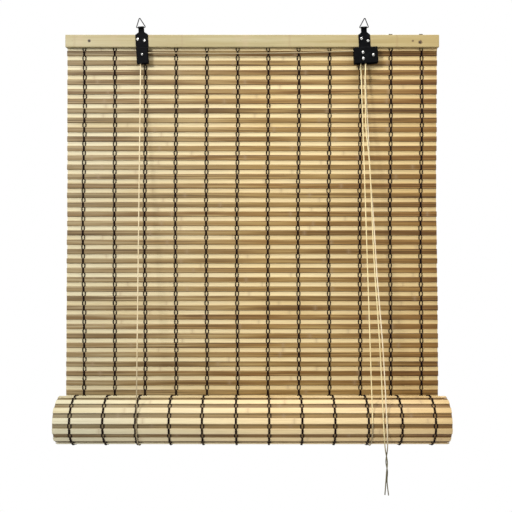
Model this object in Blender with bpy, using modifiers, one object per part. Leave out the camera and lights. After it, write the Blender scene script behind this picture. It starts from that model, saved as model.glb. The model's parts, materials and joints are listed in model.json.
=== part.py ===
"""A bamboo roller blind: woven slats rolled up from below by two looped cords.

Metres, +Z up, +X to the right as seen from the room, and the room lies towards -Y.
The origin is half way between the two hooks that the wire rings hang on.
"""
import math

import bmesh
import bpy
from mathutils import Vector

NAME = "roller_blind"

# Fits
GAP = 0.0003            # between pieces that touch in the real blind
ROUND_STEPS = 20        # facets round a turned piece
CURVE_STEP = math.radians(12)

# Slats and the weave
SLAT_THICKNESS = 0.0021
FRONT_SLAT_WIDTH = 0.0113
SLAT_LAP = 0.001375     # how far each slat's edge covers the next one's
SLAT_PITCH = 0.02055    # one front slat and one back slat
PAIRS_PER_BAND = 4
BANDS = 10
WARP_COLUMNS = 12
WARP_PITCH = 0.066
WARP_WIDTH = 0.008
WARP_THICKNESS = 0.0007

# Head rail: two laths with the top of the panel between them
LATH_LENGTH = 0.800
PANEL_INSET = 0.003     # of the panel's ends from the laths' ends
LATH_HEIGHT = 0.0265
FRONT_LATH_THICKNESS = 0.008
BACK_LATH_THICKNESS = 0.005
LATH_EDGE = 0.0009
LATH_TOP = -0.0325
PANEL_TOP_STEP = 0.0008  # the panel's first slat starts this far below the laths' top
NAIL_INSET = (0.0512, 0.0415)
NAIL_Z = (-0.0460, -0.0488)
NAIL_RADIUS = 0.0009
NAIL_HEAD_RADIUS = 0.0016
NAIL_HEAD_HEIGHT = 0.0005

# The roll and the bottom lath in it
ROLL_RADIUS = 0.049
DIP_START = 0.75        # share of a turn after which the sheet dips under the turn outside it
TURN_STEPS = 24
LAYER_GAP = 0.0004
BOTTOM_LATH_WIDTH = 0.0265
BOTTOM_LATH_THICKNESS = 0.008

# Cords
CORD_RADIUS = 0.00115
CORD_OFF_ROLL = 0.00085  # between the roll's surface and the cord looped round it
LOOP_X = (-0.232, 0.242)
LOOP_STEP = math.radians(7.5)
CORD_HOLE_DEPTH = 0.012
CORD_IN_HOLE = 0.0115
TRANSFER_SAG = 0.0035
TRANSFER_POINTS = 16
PULL_POINTS = 78

# Hanging brackets, in a frame of their own: x across, z down from the hook
HOOK_HALF_SPAN = 0.2405
BRACKET_TILT = math.radians(-3.0)
PLATE_THICKNESS = 0.0012
PLATE_TOP = -0.0282     # where the neck meets the plate's sloping shoulders
SLOPE_FOOT = -0.0332
NECK_WRAP = math.radians(290)  # how far the neck's strip is rolled round the ring's wire
NECK_STEPS = 12
PLATE_WIDTH = (0.0270, 0.0250)
PLATE_SHIFT = (0.0022, -0.0030)
NECK_WIDTH = 0.0124
NECK_THINNING = 0.00005  # the rolled neck is drawn this much thinner on each face
NECK_LEDGE = 0.0005     # the shoulders start this far outside the neck's edges
NECK_LAP = 0.0024       # the neck's strip runs this far down into the plate
CASE_TOP = -0.0622
CASE_BOTTOM = -0.0965
CASE_WIDTH = (0.0250, 0.0510)
CASE_STEP = 0.0015      # the plate's strap widens or narrows to its case over this height
CORNER = 0.0012
NOTCH_HALF = 0.00345    # half the height of the notch that the cross cord runs through
NOTCH_DEPTH = 0.0036

# Wire rings
WIRE_RADIUS = 0.0010
RING_WIDTH = 0.0178     # between the wire's centres at the base
RING_HEIGHT = 0.0196
RING_CORNER = 0.0013
RING_ARC_STEPS = 5

# Screws and rivets
SCREW_PLACES = (
    ((-0.0065, -0.0430), (0.0075, -0.0465)),
    ((-0.0090, -0.0415), (0.0045, -0.0470)),
)
SCREW_HEAD_RADIUS = 0.0032
SCREW_HEAD_HEIGHT = 0.0019
SCREW_RADIUS = 0.0015
SCREW_REACH = 0.0070    # into the front lath
RIVET_RADIUS = 0.0015
RIVET_HEAD_RADIUS = (0.0029, 0.0040)
RIVET_HEAD_HEIGHT = 0.0016
RIVET_TAIL_RADIUS = 0.0026
RIVET_TAIL_HEIGHT = 0.0008

# Pulleys and the cam that grips the cords
PULLEY_CORD_RADIUS = 0.0048
PULLEY_SIDE_ROOM = 0.00045  # between a cord and each flange
PULLEY_FLANGE_RADIUS = 0.0060
PULLEY_RIM = 0.0005
LEFT_PULLEY = (0.0021, -0.0776)
LOCK_PULLEY = (-0.0092, -0.0742)
CAM_PIVOT = (0.0125, -0.0804)
STOP_RIVET = (-0.0091, -0.0872)
CAM_HUB_RADIUS = 0.0040
CAM_DROP = 0.0030
CAM_NOSE_RADIUS = 0.0016
CAM_CLEARANCE = 0.0004
CAM_THICKNESS = 0.0076

# Widths and lengths that follow from the others
PANEL_WIDTH = LATH_LENGTH - 2 * PANEL_INSET
BACK_SLAT_WIDTH = SLAT_PITCH - FRONT_SLAT_WIDTH + 2 * SLAT_LAP
NAIL_X = (NAIL_INSET[0] - LATH_LENGTH / 2, LATH_LENGTH / 2 - NAIL_INSET[1])
PULLEY_THICKNESS = 2 * (CORD_RADIUS + PULLEY_SIDE_ROOM + PULLEY_RIM)

# Depths, from the bracket plate back to the wall
PLATE_FRONT = WIRE_RADIUS + GAP
PLATE_BACK = PLATE_FRONT + PLATE_THICKNESS
FRONT_LATH_FRONT = PLATE_BACK + GAP
FRONT_LATH_BACK = FRONT_LATH_FRONT + FRONT_LATH_THICKNESS
PANEL_FRONT = FRONT_LATH_BACK + GAP
PANEL_BACK = PANEL_FRONT + 2 * SLAT_THICKNESS
BACK_LATH_FRONT = PANEL_BACK + GAP
BACK_LATH_BACK = BACK_LATH_FRONT + BACK_LATH_THICKNESS
PULLEY_BACK_Y = PLATE_FRONT - GAP - PULLEY_THICKNESS / 2
PULLEY_FRONT_Y = PULLEY_BACK_Y - PULLEY_THICKNESS - GAP

# Heights
LATH_BOTTOM = LATH_TOP - LATH_HEIGHT
FIRST_BACK_SLAT = LATH_TOP - PANEL_TOP_STEP - BACK_SLAT_WIDTH / 2
PAIRS = BANDS * PAIRS_PER_BAND
PANEL_BOTTOM = FIRST_BACK_SLAT - (PAIRS - 1) * SLAT_PITCH - BACK_SLAT_WIDTH / 2
ROLL_Y = PANEL_BACK - ROLL_RADIUS
ROLL_Z = PANEL_BOTTOM - GAP
LOOP_RADIUS = ROLL_RADIUS + CORD_OFF_ROLL + CORD_RADIUS
LAYER = 2 * SLAT_THICKNESS
LAYER_PITCH = LAYER + LAYER_GAP
CORE_RADIUS = math.hypot(BOTTOM_LATH_WIDTH, BOTTOM_LATH_THICKNESS) / 2 + GAP
ROLL_TURNS = math.floor((ROLL_RADIUS - LAYER - CORE_RADIUS) / LAYER_PITCH) + DIP_START
RING_PIVOT_Z = -RING_HEIGHT + WIRE_RADIUS

LEFT, RIGHT = 0, 1

# Routes of the two free pull cords, from the lock down over the roll to their cut ends
PULL_ROUTES = (
    (
        (0.2388, -0.0122, -0.135), (0.2384, -0.0195, -0.185), (0.2386, -0.0262, -0.240),
        (0.2436, -0.0320, -0.300), (0.2462, -0.0392, -0.360), (0.2475, -0.0457, -0.420),
        (0.2488, -0.0522, -0.480), (0.2512, -0.0587, -0.545), (0.2546, -0.0657, -0.610),
        (0.2580, -0.0724, -0.680), (0.2604, -0.0788, -0.745), (0.2618, -0.0838, -0.800),
        (0.2640, -0.0859, -0.850), (0.2664, -0.0869, -0.890), (0.2706, -0.0877, -0.918),
        (0.2690, -0.0881, -0.938), (0.2676, -0.0883, -0.958), (0.2660, -0.0865, -0.984),
    ),
    (
        (0.2402, -0.0078, -0.135), (0.2414, -0.0148, -0.185), (0.2436, -0.0210, -0.240),
        (0.2446, -0.0292, -0.300), (0.2470, -0.0364, -0.360), (0.2504, -0.0432, -0.420),
        (0.2530, -0.0502, -0.480), (0.2556, -0.0572, -0.545), (0.2596, -0.0647, -0.610),
        (0.2640, -0.0717, -0.680), (0.2668, -0.0783, -0.745), (0.2686, -0.0835, -0.800),
        (0.2706, -0.0859, -0.850), (0.2716, -0.0849, -0.890), (0.2688, -0.0829, -0.918),
        (0.2716, -0.0841, -0.938), (0.2706, -0.0849, -0.958), (0.2732, -0.0871, -0.985),
    ),
)


# ---------------------------------------------------------------- scene tools

def clear_scene():
    for old in list(bpy.data.objects):
        bpy.data.objects.remove(old, do_unlink=True)


def new_collection(name):
    made = bpy.data.collections.new(name)
    bpy.context.scene.collection.children.link(made)
    return made


def principled(name, colour, roughness, metallic=0.0):
    made = bpy.data.materials.new(name)
    made.use_nodes = True
    shader = made.node_tree.nodes["Principled BSDF"]
    shader.inputs["Base Color"].default_value = (*colour, 1.0)
    shader.inputs["Roughness"].default_value = roughness
    shader.inputs["Metallic"].default_value = metallic
    return made


def add(name, data, look=None, place=(0, 0, 0), turn=(0, 0, 0), parent=None, group=None):
    made = bpy.data.objects.new(name, data)
    made.location = place
    made.rotation_euler = turn
    made.parent = parent
    (group or PARTS).objects.link(made)
    if look is not None:
        made.data.materials.append(look)
    return made


def as_cutter(thing):
    for holder in list(thing.users_collection):
        holder.objects.unlink(thing)
    CUTTERS.objects.link(thing)
    thing.hide_render = True
    thing.display_type = "WIRE"
    return thing


def cube_data(name, size):
    shape = bmesh.new()
    bmesh.ops.create_cube(shape, size=1.0)
    bmesh.ops.scale(shape, vec=Vector(size), verts=shape.verts)
    data = bpy.data.meshes.new(name)
    shape.to_mesh(data)
    shape.free()
    return data


def box(name, low, high, look=None, parent=None, group=None):
    """A box between two corners, with its origin at its middle."""
    low, high = Vector(low), Vector(high)
    return add(name, cube_data(name, high - low), look, (low + high) / 2, parent=parent, group=group)


def outline_data(name, loops, depth):
    """A flat outline of one or more loops, extruded by depth about its own plane."""
    data = bpy.data.curves.new(name, "CURVE")
    data.dimensions = "2D"
    data.fill_mode = "BOTH"
    data.extrude = depth / 2
    data.resolution_u = 1
    for loop in loops:
        line = data.splines.new("POLY")
        line.points.add(len(loop) - 1)
        for point, (a, b) in zip(line.points, loop):
            point.co = (a, b, 0, 1)
        line.use_cyclic_u = True
    return data


def curve_to_mesh(thing):
    """The curve object's solid as a mesh object in the same place, its caps welded on."""
    bpy.context.view_layer.update()
    seen = thing.evaluated_get(bpy.context.evaluated_depsgraph_get())
    data = bpy.data.meshes.new_from_object(seen)
    shape = bmesh.new()
    shape.from_mesh(data)
    bmesh.ops.remove_doubles(shape, verts=shape.verts, dist=1e-6)
    bmesh.ops.recalc_face_normals(shape, faces=shape.faces)
    shape.to_mesh(data)
    shape.free()
    name, holders = thing.name, list(thing.users_collection)
    place, parent = thing.matrix_world.copy(), thing.parent
    bpy.data.objects.remove(thing, do_unlink=True)
    made = bpy.data.objects.new(name, data)
    holders[0].objects.link(made)
    made.parent = parent
    made.matrix_world = place
    return made


ALONG_X = (math.pi / 2, 0, math.pi / 2)   # an outline's (a, b) becomes (y, z)
ALONG_Y = (math.pi / 2, 0, 0)             # an outline's (a, b) becomes (x, z); up is -y


def turned_data(name, profile, closed=False):
    """A profile of (radius, height) points, run top to bottom, turned about its own Z."""
    data = bpy.data.meshes.new(name)
    last = len(profile) if closed else len(profile) - 1
    edges = [(i, (i + 1) % len(profile)) for i in range(last)]
    data.from_pydata([(r, 0, h) for r, h in profile], edges, [])
    return data


def turned(name, profile, place, look=None, parent=None, closed=False, group=None):
    """A turned piece that faces the room: height in its profile runs towards -Y."""
    made = add(name, turned_data(name, profile, closed), look, place, ALONG_Y, parent, group)
    screw = made.modifiers.new("turn", "SCREW")
    screw.steps = screw.render_steps = ROUND_STEPS
    screw.use_merge_vertices = True
    screw.merge_threshold = 1e-6
    screw.use_smooth_shade = True
    return made


def cord(name, points, radius=CORD_RADIUS, look=None, closed=False, origin=(0, 0, 0), parent=None):
    """A round cord or wire through the points, with flat ends."""
    data = bpy.data.curves.new(name, "CURVE")
    data.dimensions = "3D"
    data.bevel_depth = radius
    data.bevel_resolution = 2
    data.use_fill_caps = True
    line = data.splines.new("POLY")
    line.points.add(len(points) - 1)
    for point, co in zip(line.points, points):
        point.co = (*(Vector(co) - Vector(origin)), 1)
    line.use_cyclic_u = closed
    return add(name, data, look, origin, parent=parent)


def boolean(thing, tools, operation="DIFFERENCE"):
    for tool in tools:
        step = thing.modifiers.new(tool.name, "BOOLEAN")
        step.operation = operation
        step.object = tool
    return thing


def bevel(thing, width, segments=1):
    step = thing.modifiers.new("edge", "BEVEL")
    step.width = width
    step.segments = segments
    step.limit_method = "ANGLE"
    return thing


def drill(name, place, radius, depth, parent=None):
    """A cutter for a round hole that runs back from place by depth."""
    ends = [(0, 0), (radius, 0), (radius, -depth), (0, -depth)]
    return as_cutter(turned(name, ends, place, parent=parent))


def arc(centre, radius, start, stop, steps=None):
    """Points round an arc, both ends included."""
    steps = steps or round(abs(stop - start) / CURVE_STEP)
    swept = (stop - start) / steps
    return [
        (centre[0] + radius * math.cos(start + i * swept),
         centre[1] + radius * math.sin(start + i * swept))
        for i in range(steps + 1)
    ]


def smooth_route(points, count):
    """Evenly numbered points on a Catmull-Rom curve through the given ones."""
    knots = [Vector(p) for p in points]
    knots = [2 * knots[0] - knots[1]] + knots + [2 * knots[-1] - knots[-2]]
    spans = len(knots) - 3
    made = []
    for i in range(count):
        at = i * spans / (count - 1)
        k = min(int(at), spans - 1)
        t = at - k
        a, b, c, d = knots[k:k + 4]
        made.append(
            0.5 * (2 * b + (c - a) * t + (2 * a - 5 * b + 4 * c - d) * t * t
                   + (3 * b - a - 3 * c + d) * t * t * t)
        )
    return made


def on_bracket(side, x, y, z):
    """A point of a bracket's own frame, in the blind's frame."""
    hook = (-HOOK_HALF_SPAN, HOOK_HALF_SPAN)[side]
    turn, lean = math.cos(BRACKET_TILT), math.sin(BRACKET_TILT)
    return Vector((hook + x * turn + z * lean, y, z * turn - x * lean))


def shorten(start, end, trim):
    """The same straight stretch, cut back by trim at each end."""
    start, end = Vector(start), Vector(end)
    back = (end - start).normalized() * trim
    return [start + back, end - back]


# ------------------------------------------------------------------ the rail

def make_rail():
    half = LATH_LENGTH / 2
    front = box("front_lath", (-half, FRONT_LATH_FRONT, LATH_BOTTOM),
                (half, FRONT_LATH_BACK, LATH_TOP), PALE_BAMBOO)
    back = box("back_lath", (-half, BACK_LATH_FRONT, LATH_BOTTOM),
               (half, BACK_LATH_BACK, LATH_TOP), PALE_BAMBOO)
    bevel(front, LATH_EDGE, 2)
    bevel(back, LATH_EDGE, 2)

    screw_holes = [
        drill(f"screw_hole_{side}_{n}", (x, FRONT_LATH_FRONT - GAP, z), SCREW_RADIUS + GAP,
              SCREW_REACH + 2 * GAP, BRACKETS[side])
        for side in (LEFT, RIGHT)
        for n, (x, z) in enumerate(SCREW_PLACES[side])
    ]
    nail_reach = BACK_LATH_BACK - FRONT_LATH_FRONT - 2 * LATH_EDGE
    nail_holes = [
        drill(f"nail_hole_{n}", (x, FRONT_LATH_FRONT - GAP, z), NAIL_RADIUS + GAP,
              nail_reach + 2 * GAP)
        for n, (x, z) in enumerate(zip(NAIL_X, NAIL_Z))
    ]
    cord_y = (BACK_LATH_FRONT + BACK_LATH_BACK) / 2
    cord_holes = []
    for side in (LEFT, RIGHT):
        hole = drill(f"cord_hole_{side}", (LOOP_X[side], cord_y, LATH_BOTTOM - GAP),
                     CORD_RADIUS + GAP, CORD_HOLE_DEPTH + GAP)
        hole.rotation_euler = (math.pi, 0, 0)
        cord_holes.append(hole)
    boolean(front, screw_holes + nail_holes)
    boolean(back, nail_holes + cord_holes)

    for n, (x, z) in enumerate(zip(NAIL_X, NAIL_Z)):
        head = NAIL_HEAD_HEIGHT
        turned(
            f"rail_nail_{('left', 'right')[n]}",
            [(0, head), (0.6 * NAIL_HEAD_RADIUS, head), (NAIL_HEAD_RADIUS, 0.5 * head),
             (NAIL_HEAD_RADIUS, 0), (NAIL_RADIUS, 0), (NAIL_RADIUS, -nail_reach + NAIL_RADIUS),
             (0, -nail_reach)],
            (x, FRONT_LATH_FRONT - GAP, z), BRIGHT_STEEL,
        )
    return nail_holes


# ------------------------------------------------------------- the slat panel

def slat_profile(backs, fronts):
    """Outline, as (y, z), of a run of slats that overlap edge to edge in two layers.

    backs and fronts are the slats' middle heights. Together they run from the top down,
    turn and turn about, and each slat laps the next one by the same amount.
    """
    middle = (PANEL_FRONT + PANEL_BACK) / 2
    layers = sorted(
        [(z, PANEL_BACK, BACK_SLAT_WIDTH / 2) for z in backs]
        + [(z, PANEL_FRONT, FRONT_SLAT_WIDTH / 2) for z in fronts],
        reverse=True,
    )
    top, bottom = layers[0][0] + layers[0][2], layers[-1][0] - layers[-1][2]

    def side(face):
        """One side from the top down: out to the face at its slats, and in between them."""
        points = [(middle, top)]
        for z, out, half in layers:
            if out == face:
                points += [(middle, z + half), (face, z + half), (face, z - half), (middle, z - half)]
        return points + [(middle, bottom)]

    loop = side(PANEL_FRONT) + side(PANEL_BACK)[::-1]
    return [point for i, point in enumerate(loop) if point != loop[i - 1]]


def make_panel(nail_holes):
    for band in range(BANDS):
        first = band * PAIRS_PER_BAND
        backs = [FIRST_BACK_SLAT - k * SLAT_PITCH for k in range(first, first + PAIRS_PER_BAND)]
        fronts = [z + SLAT_PITCH / 2 for z in backs]
        if band == 0:
            fronts = fronts[1:]
        name = f"slat_band_{band + 1:02d}"
        flat = add(name, outline_data(name, [slat_profile(backs, fronts)], PANEL_WIDTH), turn=ALONG_X)
        made = curve_to_mesh(flat)
        made.data.materials.clear()
        made.data.materials.append(BROWN_BAMBOO if band % 2 else PALE_BAMBOO)
        if band == 0:
            boolean(made, nail_holes)


def make_warps():
    top = LATH_BOTTOM - GAP
    clear_of_roll = math.sqrt(ROLL_RADIUS**2 - (PANEL_FRONT - GAP - WARP_THICKNESS - GAP - ROLL_Y) ** 2)
    bottom = ROLL_Z + clear_of_roll
    for column in range(WARP_COLUMNS):
        x = (column - (WARP_COLUMNS - 1) / 2) * WARP_PITCH
        box(f"warp_cord_{column + 1:02d}",
            (x - WARP_WIDTH / 2, PANEL_FRONT - GAP - WARP_THICKNESS, bottom),
            (x + WARP_WIDTH / 2, PANEL_FRONT - GAP, top), DARK_THREAD)


# -------------------------------------------------------------------- the roll

def spiral_radius(swept):
    """The rolled sheet's outer radius, swept radians along from where the roll starts.

    Each turn is round to the top of the roll and then eases in by one layer.
    """
    turns, part = divmod(swept / math.tau, 1)
    t = max(0, (part - DIP_START) / (1 - DIP_START))
    return ROLL_RADIUS - LAYER_PITCH * (turns + t * t * (3 - 2 * t))


def make_roll():
    """The rolled sheet, wound in from the rear: down, forward under, up the front."""
    start = GAP / ROLL_RADIUS
    steps = round(ROLL_TURNS * TURN_STEPS)
    outer, inner = [], []
    for i in range(steps + 1):
        swept = start if i == 0 else i * math.tau / TURN_STEPS
        radius = spiral_radius(swept)
        y, z = math.cos(swept), -math.sin(swept)
        outer.append((radius * y, radius * z))
        inner.append(((radius - LAYER) * y, (radius - LAYER) * z))
    name = "rolled_panel"
    centre = (0, ROLL_Y, ROLL_Z)
    flat = add(name, outline_data(name, [outer + inner[::-1]], PANEL_WIDTH), place=centre, turn=ALONG_X)
    made = curve_to_mesh(flat)
    made.data.materials.clear()
    made.data.materials.append(PALE_BAMBOO)

    hollow = spiral_radius(ROLL_TURNS * math.tau) - LAYER - GAP
    seat = math.sqrt(hollow**2 - (BOTTOM_LATH_WIDTH / 2) ** 2) - BOTTOM_LATH_THICKNESS / 2
    size = (PANEL_WIDTH, BOTTOM_LATH_THICKNESS, BOTTOM_LATH_WIDTH)
    core = add("bottom_lath", cube_data("bottom_lath", size), PALE_BAMBOO, (0, ROLL_Y - seat, ROLL_Z))
    bevel(core, LATH_EDGE, 1)


# ------------------------------------------------------------------- brackets

def ring_points(shift):
    """The rounded triangle of a ring's wire centre line, seen from the room."""
    half = RING_WIDTH / 2
    corners = [(shift - half, RING_PIVOT_Z), (0, WIRE_RADIUS), (shift + half, RING_PIVOT_Z)]
    points = []
    for i, corner in enumerate(corners):
        before, after = Vector(corners[i - 1]), Vector(corners[(i + 1) % 3])
        at = Vector(corner)
        a, b = (before - at).normalized(), (after - at).normalized()
        half_angle = a.angle(b) / 2
        centre = at + (a + b).normalized() * RING_CORNER / math.sin(half_angle)
        first = at + a * RING_CORNER / math.tan(half_angle) - centre
        start = math.atan2(first.y, first.x)
        swept = math.pi - 2 * half_angle
        points += arc(centre, RING_CORNER, start, start - swept, RING_ARC_STEPS)
    low = min(z for _, z in points)
    high = max(z for _, z in points)
    return [(x, 0, WIRE_RADIUS + (z - high) * (RING_HEIGHT) / (high - low)) for x, z in points]


def make_ring(side):
    name = f"hook_ring_{('left', 'right')[side]}"
    points = ring_points(PLATE_SHIFT[side])
    base = min(p[2] for p in points)
    cord(name, points, WIRE_RADIUS, DARK_STEEL, True, (0, 0, base), BRACKETS[side])
    return base


def make_plate(side):
    """The bracket's back plate, whose top is rolled round the ring's base wire."""
    word = ("left", "right")[side]
    shift, half = PLATE_SHIFT[side], PLATE_WIDTH[side] / 2
    base = make_ring(side)
    inside, outside = PLATE_FRONT + NECK_THINNING, PLATE_BACK - NECK_THINNING
    neck_foot = PLATE_TOP - NECK_LAP
    profile = (
        [(outside, neck_foot)] + arc((0, base), outside, 0, NECK_WRAP, NECK_STEPS)
        + arc((0, base), inside, NECK_WRAP, 0, NECK_STEPS) + [(inside, neck_foot)]
    )
    neck = add(f"neck_{word}", outline_data("neck", [profile], NECK_WIDTH), None,
               (shift, 0, 0), ALONG_X, BRACKETS[side])
    neck = as_cutter(curve_to_mesh(neck))

    narrow, wide = NECK_WIDTH / 2 + NECK_LEDGE, CASE_WIDTH[side] / 2
    left_edge = [(-narrow, PLATE_TOP), (-half, SLOPE_FOOT), (-half, CASE_TOP + CASE_STEP),
                 (-wide, CASE_TOP), (-wide, CASE_BOTTOM)]
    edge = [(shift + x, z) for x, z in left_edge] + [(shift - x, z) for x, z in left_edge[::-1]]
    plate = add(f"hanger_plate_{word}", outline_data("plate", [edge[::-1]], PLATE_THICKNESS), None,
                (0, PLATE_FRONT + PLATE_THICKNESS / 2, 0), ALONG_Y, BRACKETS[side])
    plate = curve_to_mesh(plate)
    plate.data.materials.clear()
    plate.data.materials.append(BLACK_PAINT)
    boolean(plate, [neck], "UNION")
    holes = [
        drill(f"plate_hole_{word}_{n}", (x, PLATE_FRONT - GAP, z), radius + GAP,
              PLATE_THICKNESS + 2 * GAP, BRACKETS[side])
        for n, (x, z, radius) in enumerate(
            [(x, z, SCREW_RADIUS) for x, z in SCREW_PLACES[side]]
            + [(x, z, RIVET_RADIUS) for x, z in RIVETS[side]]
        )
    ]
    boolean(plate, holes)


def make_cover(side):
    """The case in front of the plate: open behind and below, notched for the cross cord."""
    word = ("left", "right")[side]
    shift, half = PLATE_SHIFT[side], CASE_WIDTH[side] / 2
    back = PLATE_FRONT - GAP
    inner_front = CASE_INNER[side]
    front = inner_front - PLATE_THICKNESS
    case = box(f"{('pulley', 'lock')[side]}_case_{word}", (shift - half, front, CASE_BOTTOM),
               (shift + half, back, CASE_TOP), BLACK_PAINT, BRACKETS[side])
    bevel(case, CORNER, 1)
    room = box(f"case_room_{word}",
               (shift - half + PLATE_THICKNESS, inner_front, CASE_BOTTOM - CORNER),
               (shift + half - PLATE_THICKNESS, back + GAP, CASE_TOP - PLATE_THICKNESS),
               parent=BRACKETS[side])
    pulley = (LEFT_PULLEY, LOCK_PULLEY)[side]
    notch_z = pulley[1] + PULLEY_CORD_RADIUS
    inward = (1, -1)[side]
    wall = shift + inward * half
    left_end, right_end = sorted((wall - inward * NOTCH_DEPTH, wall + inward * GAP))
    notch = box(f"case_notch_{word}", (left_end, inner_front, notch_z - NOTCH_HALF),
                (right_end, back + GAP, notch_z + NOTCH_HALF), parent=BRACKETS[side])
    holes = [
        drill(f"case_hole_{word}_{n}", (x, front - GAP, z), RIVET_RADIUS + GAP,
              PLATE_THICKNESS + 2 * GAP, BRACKETS[side])
        for n, (x, z) in enumerate(RIVETS[side])
    ]
    boolean(case, [as_cutter(room), as_cutter(notch)] + holes)


def make_screws(side):
    word = ("left", "right")[side]
    head, rim = SCREW_HEAD_HEIGHT, SCREW_HEAD_RADIUS
    reach = SCREW_REACH + PLATE_THICKNESS + 2 * GAP
    profile = [(0, head), (0.55 * rim, 0.92 * head), (0.85 * rim, 0.62 * head), (rim, 0.25 * head),
               (rim, 0), (SCREW_RADIUS, 0), (SCREW_RADIUS, -reach + SCREW_RADIUS), (0, -reach)]
    for n, (x, z) in enumerate(SCREW_PLACES[side]):
        turned(f"screw_{word}_{n + 1}", profile, (x, PLATE_FRONT - GAP, z), BRIGHT_STEEL,
               BRACKETS[side])


def make_rivets(side):
    word = ("left", "right")[side]
    head, rim = RIVET_HEAD_HEIGHT, RIVET_HEAD_RADIUS[side]
    front = CASE_INNER[side] - PLATE_THICKNESS
    tail = -(PLATE_BACK + GAP - (front - GAP))
    profile = [(0, head), (0.5 * rim, 0.87 * head), (0.85 * rim, 0.5 * head), (rim, 0),
               (RIVET_RADIUS, 0), (RIVET_RADIUS, tail), (RIVET_TAIL_RADIUS, tail),
               (RIVET_TAIL_RADIUS, tail - RIVET_TAIL_HEIGHT), (0, tail - RIVET_TAIL_HEIGHT)]
    for n, (x, z) in enumerate(RIVETS[side]):
        suffix = "" if side == LEFT else f"_{n + 1}"
        turned(f"rivet_{word}{suffix}", profile, (x, front - GAP, z), BRIGHT_STEEL, BRACKETS[side])


def make_pulley(name, side, place, y):
    half = PULLEY_THICKNESS / 2
    groove = PULLEY_CORD_RADIUS - CORD_RADIUS - GAP
    bore = RIVET_RADIUS + GAP
    flange = PULLEY_FLANGE_RADIUS
    lip = half - PULLEY_RIM
    profile = [(bore, half), (flange, half), (flange, lip), (groove, lip), (groove, -lip),
               (flange, -lip), (flange, -half), (bore, -half)]
    turned(name, profile, (place[0], y, place[1]), DARK_STEEL, BRACKETS[side], closed=True)


def make_cam():
    """The gripping cam: a hub on its rivet and a nose that stops just short of the cords."""
    cords_right = LOCK_PULLEY[0] + PULLEY_CORD_RADIUS + CORD_RADIUS
    reach = CAM_PIVOT[0] - cords_right - CAM_CLEARANCE - CAM_NOSE_RADIUS
    nose = (-reach, -CAM_DROP)
    lean = math.atan2(-nose[1], -nose[0])
    hub_arc = arc((0, 0), CAM_HUB_RADIUS, math.radians(90) + lean, math.radians(-90) + lean)
    nose_arc = arc(nose, CAM_NOSE_RADIUS, math.radians(-90) + lean, math.radians(-270) + lean)
    hole = arc((0, 0), RIVET_RADIUS + GAP, 0, math.tau * (1 - 1 / ROUND_STEPS), ROUND_STEPS - 1)
    y = (PULLEY_BACK_Y + PULLEY_FRONT_Y) / 2
    add("lock_cam", outline_data("lock_cam", [hub_arc + nose_arc, hole], CAM_THICKNESS),
        DARK_STEEL, (CAM_PIVOT[0], y, CAM_PIVOT[1]), ALONG_Y, BRACKETS[RIGHT])


# ---------------------------------------------------------------------- cords

def exit_point(side, pulley, hand, y):
    """Where a cord leaves a case's open bottom, on one hand of its pulley."""
    return on_bracket(side, pulley[0] + hand * PULLEY_CORD_RADIUS, y, CASE_BOTTOM - CORD_RADIUS)


def round_pulley(side, pulley, y, start, stop):
    """Points of a cord's bend round a pulley, in the blind's frame."""
    bend = arc(pulley, PULLEY_CORD_RADIUS, math.radians(start), math.radians(stop))
    return [on_bracket(side, x, y, z) for x, z in bend]


def make_lift_cords():
    """Each lift cord: down the front, in a loop under the roll, and up behind the panel."""
    starts = (
        exit_point(LEFT, LEFT_PULLEY, -1, PULLEY_BACK_Y),
        exit_point(RIGHT, LOCK_PULLEY, -1, PULLEY_BACK_Y),
    )
    for side, start in enumerate(starts):
        word, x = ("left", "right")[side], LOOP_X[side]
        dy, dz = start.y - ROLL_Y, start.z - ROLL_Z
        tangent = math.atan2(dz, dy) + math.acos(LOOP_RADIUS / math.hypot(dy, dz)) - math.tau
        steps = round(-tangent / LOOP_STEP)
        loop = [Vector((x, y, z)) for y, z in arc((ROLL_Y, ROLL_Z), LOOP_RADIUS, 0, tangent, steps)]
        cord(f"lift_cord_{word}_front", shorten(start, loop[-1], GAP / 2), look=CORD)
        cord(f"lift_cord_{word}_loop", loop, look=CORD, origin=(0, ROLL_Y, ROLL_Z))
        end = Vector((x, (BACK_LATH_FRONT + BACK_LATH_BACK) / 2, LATH_BOTTOM + CORD_IN_HOLE))
        cord(f"lift_cord_{word}_rear", [loop[0] + Vector((0, 0, GAP)), end], look=CORD)


def make_turned_cords():
    """The cord that crosses from the left pulley to the lock, and the right cord's bend."""
    left = [exit_point(LEFT, LEFT_PULLEY, -1, PULLEY_BACK_Y) + Vector((0, 0, GAP))]
    left += round_pulley(LEFT, LEFT_PULLEY, PULLEY_BACK_Y, 180, 90)
    right = round_pulley(RIGHT, LOCK_PULLEY, PULLEY_FRONT_Y, 90, 0)
    right += [exit_point(RIGHT, LOCK_PULLEY, 1, PULLEY_FRONT_Y) + Vector((0, 0, GAP))]
    across = []
    for i in range(1, TRANSFER_POINTS):
        t = i / TRANSFER_POINTS
        sag = 4 * TRANSFER_SAG * t * (1 - t)
        across.append(left[-1].lerp(right[0], t) - Vector((0, 0, sag)))
    cord("cross_cord", left + across + right, look=CORD)

    up = [exit_point(RIGHT, LOCK_PULLEY, -1, PULLEY_BACK_Y) + Vector((0, 0, GAP))]
    bend = round_pulley(RIGHT, LOCK_PULLEY, PULLEY_BACK_Y, 180, 0)
    down = [exit_point(RIGHT, LOCK_PULLEY, 1, PULLEY_BACK_Y) + Vector((0, 0, GAP))]
    cord("lock_cord_bend", up + bend + down, look=CORD)


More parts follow.
